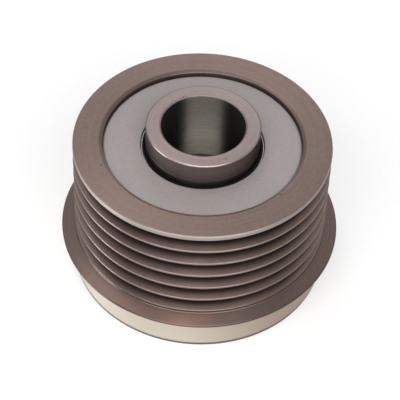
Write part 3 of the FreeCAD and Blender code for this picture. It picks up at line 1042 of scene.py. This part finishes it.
@dataclass
class Hub:
    """The hub: collar, bore, shaft thread and splined socket."""

    teeth: int = 33
    steps_per_tooth: int = 8
    tooth_radius: float = 10.2
    root_radius: float = 10.65
    gap_width: float = 1.05
    gap_root: float = 0.5
    bottom: float = 3.6
    socket_top: float = 10.6
    socket_chamfer: float = 0.17
    nose_radius: float = 12.6
    journal_radius: float = 14.0
    journal_ends: Span = (7.55, 29.05)
    shoulder_round: float = 0.3
    collar_radius: float = 11.45
    collar_round: float = 0.38
    bore_radius: float = 8.3
    lead_width: float = 0.45
    lead_drop: float = 0.24
    lead_rounds: Span = (0.05, 0.16)
    bore_limit: float = 8.45
    bore_bottom: float = 20.4
    top: float = 37.0
    lip_line: float = 32.95
    lip_line_half: float = 0.1
    lip_line_depth: float = 0.05
    thread_core: float = 7.2
    thread_root: float = 7.95
    thread_pitch: float = 1.5
    thread_lead_in: float = 0.35
    thread_bite: float = 0.05
    ridge_heights: tuple[float, float, float] = (0.56, 0.8, 1.36)
    ridge_steps: int = 72
    relief_radius: float = 8.1
    relief_rise: float = 0.3
    relief_round: float = 0.1
    ceiling_width: float = 0.5

    @property
    def steps(self) -> int:
        """Steps round the axis, so that the turned faces meet the spline's points."""
        return self.teeth * self.steps_per_tooth

    def skin(self) -> list[Corner]:
        """Place the corners of the turned faces.

        Returns:
            Their corners, from the socket's mouth round the outside and down the bore.
        """
        low, high = self.journal_ends
        rim_round, wall_round = self.lead_rounds
        return [
            Corner(self.root_radius + self.socket_chamfer, self.bottom),
            Corner(self.nose_radius, self.bottom, self.shoulder_round),
            Corner(self.nose_radius, low),
            Corner(self.journal_radius, low, self.shoulder_round),
            Corner(self.journal_radius, high, self.shoulder_round),
            Corner(self.collar_radius, high),
            Corner(self.collar_radius, self.lip_line - self.lip_line_half),
            Corner(self.collar_radius - self.lip_line_depth, self.lip_line),
            Corner(self.collar_radius, self.lip_line + self.lip_line_half),
            Corner(self.collar_radius, self.top, self.collar_round),
            Corner(self.bore_radius + self.lead_width, self.top, rim_round),
            Corner(self.bore_radius, self.top - self.lead_drop, wall_round),
            Corner(self.bore_radius, self.bore_bottom, self.relief_round),
            Corner(self.relief_radius, self.bore_bottom, self.relief_round),
            Corner(self.thread_root, self.bore_bottom - self.relief_rise),
            Corner(self.thread_root, self.socket_top + self.relief_rise),
            Corner(self.relief_radius, self.socket_top),
            Corner(self.tooth_radius - self.ceiling_width, self.socket_top),
        ]

    def spline_ring(self, bm: Shape, height: float) -> list[bmesh.types.BMEdge]:
        """Draw the socket's toothed outline as one tooth gap, repeated round the axis.

        Args:
            bm: the mesh that takes the outline.
            height: the outline's height.

        Returns:
            The outline's edges.
        """
        half_turn = math.pi / self.teeth
        mouth = self.gap_width / 2 / self.tooth_radius
        root = self.gap_root / 2 / self.root_radius
        turns = [-half_turn, -(half_turn + mouth) / 2, -mouth, -root, 0.0, root, mouth,
                 (half_turn + mouth) / 2, half_turn]
        radii = [self.tooth_radius] * 3 + [self.root_radius] * 3 + [self.tooth_radius] * 3
        points = [bm.verts.new((radius * math.cos(turn), radius * math.sin(turn), height))
                  for radius, turn in zip(radii, turns)]
        edges = [bm.edges.new(pair) for pair in zip(points, points[1:])]
        known = set(bm.edges) - set(edges)
        bmesh.ops.spin(bm, geom=points + edges, cent=(0, 0, 0), axis=UPRIGHT, dvec=(0, 0, 0),
                       angle=2 * math.pi, steps=self.teeth, space=Matrix.Identity(4),
                       use_merge=False, use_normal_flip=False, use_duplicate=True)
        fresh = [e for e in bm.edges if e not in known]
        around = {v for e in fresh for v in e.verts}
        bmesh.ops.remove_doubles(bm, verts=list(around), dist=WELD_MM)
        return [e for e in bm.edges if e not in known]

    def socket(self, bm: Shape) -> None:
        """Close the turned skin with the socket's toothed wall, floor ring and mouth ring.

        Args:
            bm: the turned skin, which is open at the socket.
        """
        rims = [e for e in bm.edges if e.is_boundary]
        halfway = (self.bottom + self.socket_top) / 2
        mouth = [e for e in rims if e.verts[0].co.z < halfway]
        ceiling = [e for e in rims if e.verts[0].co.z > halfway]
        low = self.spline_ring(bm, self.bottom)
        bmesh.ops.bridge_loops(bm, edges=mouth + low)
        grown = bmesh.ops.extrude_edge_only(bm, edges=low)
        moved = [g for g in grown["geom"] if isinstance(g, bmesh.types.BMVert)]
        bmesh.ops.translate(bm, vec=(0, 0, self.socket_top - self.bottom), verts=moved)
        high = [g for g in grown["geom"] if isinstance(g, bmesh.types.BMEdge)
                and all(abs(v.co.z - self.socket_top) < WELD_MM for v in g.verts)]
        bmesh.ops.bridge_loops(bm, edges=ceiling + high)

    def thread(self) -> Shape:
        """Wind the shaft thread as a ridge up the wall between the socket and the plain bore.

        Returns:
            The ridge's closed mesh in millimetres.
        """
        wall = self.bore_bottom - self.socket_top
        length = wall - 2 * self.thread_lead_in - self.thread_pitch
        turns = length / self.thread_pitch
        steps = round(turns * self.ridge_steps)
        foot = self.thread_root + self.thread_bite
        low = self.socket_top + self.thread_lead_in
        flank = zip((foot, self.thread_core, self.thread_core, foot), (0.0, *self.ridge_heights))
        bm = bmesh.new()
        face = bm.faces.new([bm.verts.new((radius, 0, low + rise)) for radius, rise in flank])
        bmesh.ops.spin(bm, geom=[face, *face.edges, *face.verts], cent=(0, 0, 0), axis=UPRIGHT,
                       dvec=UPRIGHT * (length / steps), angle=2 * math.pi * turns, steps=steps,
                       space=Matrix.Identity(4), use_merge=False, use_normal_flip=False,
                       use_duplicate=False)
        return bm

    def build(self) -> None:
        """Make the hub and its thread."""
        lathe = Lathe(steps=self.steps)
        bm = lathe.turn(lathe.section(self.skin(), closed=False))
        self.socket(bm)
        for face in bm.faces:
            middle = face.calc_center_median()
            in_bore = middle.xy.length < self.bore_limit and middle.z > self.socket_top
            face.material_index = int(in_bore)
        body = finished(bm, "turned_hub", Palette.hub, Palette.bore)
        Mount("hub", "hub_steel", "hub").seat(body)
        Mount("hub", "hub_steel").seat(finished(self.thread(), "shaft_thread", Palette.bore))


class Side(Enum):
    """The two ends of the pulley; the value is the way out along the axis."""

    REAR = 1
    FRONT = -1


@dataclass
class Seal:
    """The plate and the lip seal of one end."""

    side: Side
    shaft_radius: float
    inside: float
    seat_radius: float = 20.0
    seal_width: float = 0.7
    plate_width: float = 1.0
    plate_round: float = 0.6
    hole_gap: float = 0.95
    hole_rounds: Span = (0.06, 0.16)
    lip_gap: float = 0.1
    foot_round: float = 0.1
    lip_outline: Iterable[tuple[float, float, float]] = (
        (0.62, 0.0, 0.12), (0.5, 0.72, 0.12), (0.12, 0.75, 0.1), (0.0, 0.4, 0.1))
    wire_radius: float = 0.13
    wire_gap: float = 0.61
    wire_rise: float = 0.26
    wire_round: float = 0.58
    lathe: Lathe = field(default_factory=lambda: Lathe(steps=256, segments=5))

    def height(self, out: float) -> float:
        """The height of a point this far out from the seal's inner face."""
        return self.inside + self.side.value * out

    def plate(self) -> list[Corner]:
        """Place the corners of the pressed plate, with its rounded rim and hole.

        Returns:
            The section's corners.
        """
        hole = self.shaft_radius + self.hole_gap
        back = self.seal_width
        face = back + self.plate_width
        inner, outer = self.hole_rounds
        return [
            Corner(hole, self.height(back), inner),
            Corner(self.seat_radius, self.height(back)),
            Corner(self.seat_radius, self.height(face), self.plate_round),
            Corner(hole, self.height(face), outer),
        ]

    def lip(self) -> list[Corner]:
        """Place the corners of the rubber ring and of its lip, which leans out along the shaft.

        Returns:
            The section's corners.
        """
        touch = self.shaft_radius + self.lip_gap
        face = self.seal_width
        leaning = [Corner(touch + away, self.height(face + rise), bend)
                   for away, rise, bend in self.lip_outline]
        return [
            Corner(touch, self.height(0.0), self.foot_round),
            Corner(self.seat_radius, self.height(0.0)),
            Corner(self.seat_radius, self.height(face)),
            *leaning,
        ]

    def garter(self) -> list[Corner]:
        """Place the corners of the wire ring that holds the lip to the shaft.

        Returns:
            The section's corners.
        """
        inner = self.shaft_radius + self.wire_gap
        outer = inner + 2 * self.wire_radius
        low = self.height(self.seal_width + self.wire_rise)
        high = low + self.side.value * 2 * self.wire_radius
        bend = self.wire_radius * self.wire_round
        return [Corner(inner, low, bend), Corner(outer, low, bend),
                Corner(outer, high, bend), Corner(inner, high, bend)]

    def build(self) -> None:
        """Make the plate, the lip ring and its wire ring."""
        end = self.side.name.lower()
        plate = finished(self.lathe.ring(self.plate()), f"{end}_pressed_plate", Palette.plate)
        Mount("rim", "plate_steel", f"{end}_seal_plate").seat(plate)
        lip = finished(self.lathe.ring(self.lip()), f"{end}_lip_ring", Palette.rubber)
        Mount("rim", "seal_rubber", f"{end}_seal_ring").seat(lip)
        wire = finished(self.lathe.ring(self.garter()), f"{end}_garter_wire", Palette.spring)
        Mount("rim", "spring_steel").seat(wire)


@dataclass
class ClutchSprings:
    """The folded leaf springs between the clutch cage and its rollers."""

    count: int = 10
    inner: float = 14.65
    outer: float = 16.35
    tip: float = 15.02
    start: float = 3.505
    folds: int = 3
    step: float = 0.4775
    fold: float = 0.22
    leaf: float = 0.13
    bottom: float = 15.3
    width: float = 6.0
    wide_bend: float = 0.5
    tight_bend: float = 0.1
    pressed_share: float = 0.6

    def outline(self) -> list[Corner]:
        """Draw the leaf's edge, as it is seen along the axis.

        Returns:
            Its corners, down the front from the fixed end and back up.
        """
        half = self.leaf / 2
        first, *turns, last = [self.start - number * self.step for number in range(self.folds + 2)]
        front = [Corner(self.inner, first + half)]
        back = [Corner(self.inner, first - half)]
        turn, follow = self.outer, self.inner
        near, far = self.wide_bend, self.tight_bend
        for height in turns:
            front.append(Corner(turn + self.fold, height, near))
            back.append(Corner(turn - self.fold, height, far))
            turn, follow = follow, turn
            near, far = far, near
        front.append(Corner(self.tip, last - half))
        back.append(Corner(self.tip, last + half))
        return front + back[::-1]

    def leaf_spring(self, turn: Matrix) -> Shape:
        """One spring, folded from a strip.

        Args:
            turn: the rotation about the axis that takes it to its own roller.

        Returns:
            The closed mesh in millimetres.
        """
        bm = Lathe(segments=5).section(self.outline())
        bmesh.ops.contextual_create(bm, geom=bm.verts[:] + bm.edges[:])
        grown = bmesh.ops.extrude_face_region(bm, geom=bm.faces[:], use_keep_orig=True)
        moved = [g for g in grown["geom"] if isinstance(g, bmesh.types.BMVert)]
        bmesh.ops.translate(bm, vec=(0, -self.width, 0), verts=moved)
        laid = Matrix.Rotation(-math.pi / 2, 4, "X")
        lifted = Matrix.Translation((0, 0, self.bottom))
        bmesh.ops.transform(bm, matrix=turn @ lifted @ laid, verts=bm.verts)
        return bm

    def build(self) -> None:
        """Make the springs, one for each roller, turned round the axis."""
        for number in range(self.count):
            turn = Matrix.Rotation(2 * math.pi * number / self.count, 4, "Z")
            label = f"{number + 1:02d}"
            piece = finished(self.leaf_spring(turn), f"folded_leaf_{label}", Palette.spring)
            Mount("rim", "spring_steel", f"clutch_spring_{label}").seat(piece)
            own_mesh(piece)


class InnerParts:
    """The CAD's own sleeve, washers, cages, needles and rollers, which keep their shape."""

    def build(self) -> None:
        """Give every CAD node the finish of its material slot."""
        for subpart in frame["record"]["subparts"]:
            node = frame["nodes"][subpart["node"]]
            node.data.materials.clear()
            node.data.materials.append(SLOT_FINISH[subpart["material_slot"]].material())
        log.info("%d CAD nodes dressed", len(frame["nodes"]))


@dataclass(frozen=True)
class SoftBox:
    """A flat lamp that faces a point on the pulley."""

    name: str
    place: tuple[float, float, float]
    width: float
    depth: float
    power: float
    colour: tuple[float, float, float] = (1.0, 1.0, 1.0)
    target: tuple[float, float, float] = (0.0, 0.0, 0.02)

    def hang(self) -> None:
        """Add the lamp to the scene."""
        lamp = bpy.data.lights.new(self.name, "AREA")
        lamp.shape = "RECTANGLE"
        lamp.size = self.width
        lamp.size_y = self.depth
        lamp.energy = self.power
        lamp.color = self.colour
        holder = bpy.data.objects.new(self.name, lamp)
        holder.location = self.place
        away = Vector(self.place) - Vector(self.target)
        holder.rotation_euler = away.to_track_quat("Z", "Y").to_euler()
        bpy.context.scene.collection.objects.link(holder)


@dataclass
class Studio:
    """White surroundings, a pale floor, the lamps and the camera."""

    lamps: Iterable[SoftBox] = (
        SoftBox("overhead lamp", (-0.22, 0.28, 0.72), 0.30, 0.30, 0.8),
        SoftBox("back lamp", (0.0, 0.62, 0.44), 0.30, 0.30, 0.26),
        SoftBox("front lamp", (0.0, -0.50, 0.62), 1.0, 0.5, 8.5),
        SoftBox("left lamp", (-0.60, -0.15, 0.03), 0.3, 0.06, 2.6),
    )
    world_strength: float = 0.3
    floor_size: float = 20.0
    floor_fade_mm: Span = (70.0, 260.0)
    floor_glow: Span = (0.5, 1.0)
    floor_colour: Colour = grey(0.9)
    floor_drop: float = 0.00005
    near_clip: float = 0.01
    focal_pixels: float = 1617.0
    camera_distance: float = 0.3220
    camera_elevation: float = math.radians(44.95)
    camera_roll: float = math.radians(2.404)
    camera_pivot: float = 0.03285
    camera_aim: tuple[float, float, float] = (-0.00006, 0.0, 0.01527)

    @staticmethod
    def seen(graph: Graph) -> Socket:
        """Find the rays that come from the camera, a reflection or a transparent piece.

        Args:
            graph: the graph of the world or of a material.

        Returns:
            1 for those rays, and 0 for the rest.
        """
        path = graph.add("LightPath").outputs
        straight = graph.calc("MAXIMUM", path["Is Camera Ray"], path["Is Glossy Ray"])
        return graph.calc("MAXIMUM", straight, path["Is Transmission Ray"])

    def world(self) -> None:
        """White where it is seen, and softer where it lights."""
        made = bpy.data.worlds.new("white room")
        made.use_nodes = True
        graph = Graph(made.node_tree)
        background = made.node_tree.nodes["Background"]
        background.inputs["Color"].default_value = grey(1.0)
        level = graph.ramp(self.seen(graph), 0.0, 1.0, self.world_strength, 1.0)
        graph.feed(background.inputs["Strength"], level)
        bpy.context.scene.world = made

    def floor(self) -> None:
        """A pale floor that shows white and keeps a faint shadow."""
        bm = bmesh.new()
        bmesh.ops.create_grid(bm, x_segments=1, y_segments=1, size=self.floor_size / 2)
        mesh = bpy.data.meshes.new("floor")
        bm.to_mesh(mesh)
        bm.free()
        made = bpy.data.materials.new("pale floor")
        made.use_nodes = True
        graph = Graph(made.node_tree)
        nodes = made.node_tree.nodes
        nodes.remove(nodes["Principled BSDF"])
        paper = graph.add("BsdfDiffuse", {"Color": self.floor_colour}).outputs[0]
        glow = graph.add("Emission", {"Color": grey(1.0), "Strength": 1.0}).outputs[0]
        away, _ = graph.round_place()
        glowing = graph.ramp(away, *self.floor_fade_mm, *self.floor_glow)
        share = graph.times(self.seen(graph), glowing)
        mixed = graph.add("MixShader", {0: share, 1: paper, 2: glow}).outputs[0]
        graph.feed(nodes["Material Output"].inputs["Surface"], mixed)
        mesh.materials.append(made)
        ground = bpy.data.objects.new("floor", mesh)
        ground.location = (0, 0, -self.floor_drop)
        bpy.context.scene.collection.objects.link(ground)

    def camera(self) -> None:
        """A long lens at the photograph's height, tilt and roll."""
        lens = bpy.data.cameras.new("photo camera")
        lens.sensor_width = SENSOR_MM
        lens.lens = self.focal_pixels / PHOTO_PIXELS * SENSOR_MM
        lens.clip_start = self.near_clip
        holder = bpy.data.objects.new("photo camera", lens)
        bpy.context.scene.collection.objects.link(holder)
        raised = Euler((-self.camera_elevation, 0, 0)).to_matrix()
        back = raised @ Vector((0, -self.camera_distance, 0))
        holder.location = Vector((0, 0, self.camera_pivot)) + back
        away = holder.location - Vector(self.camera_aim)
        level = away.to_track_quat("Z", "Y").to_matrix()
        holder.rotation_euler = (level @ Matrix.Rotation(self.camera_roll, 3, "Z")).to_euler()
        bpy.context.scene.camera = holder

    def build(self) -> None:
        """Set up the room, the lamps and the camera."""
        bpy.context.scene.view_settings.view_transform = "Standard"
        self.world()
        self.floor()
        for lamp in self.lamps:
            lamp.hang()
        self.camera()


def main() -> None:
    """Build the pulley and its studio."""
    logging.basicConfig(level=logging.INFO, format="%(message)s")
    InnerParts().build()
    Rim().build()
    Hub().build()
    Seal(Side.REAR, shaft_radius=11.45, inside=30.1).build()
    Seal(Side.FRONT, shaft_radius=12.6, inside=6.5).build()
    ClutchSprings().build()
    Studio().build()


if __name__ == "__main__":
    main()
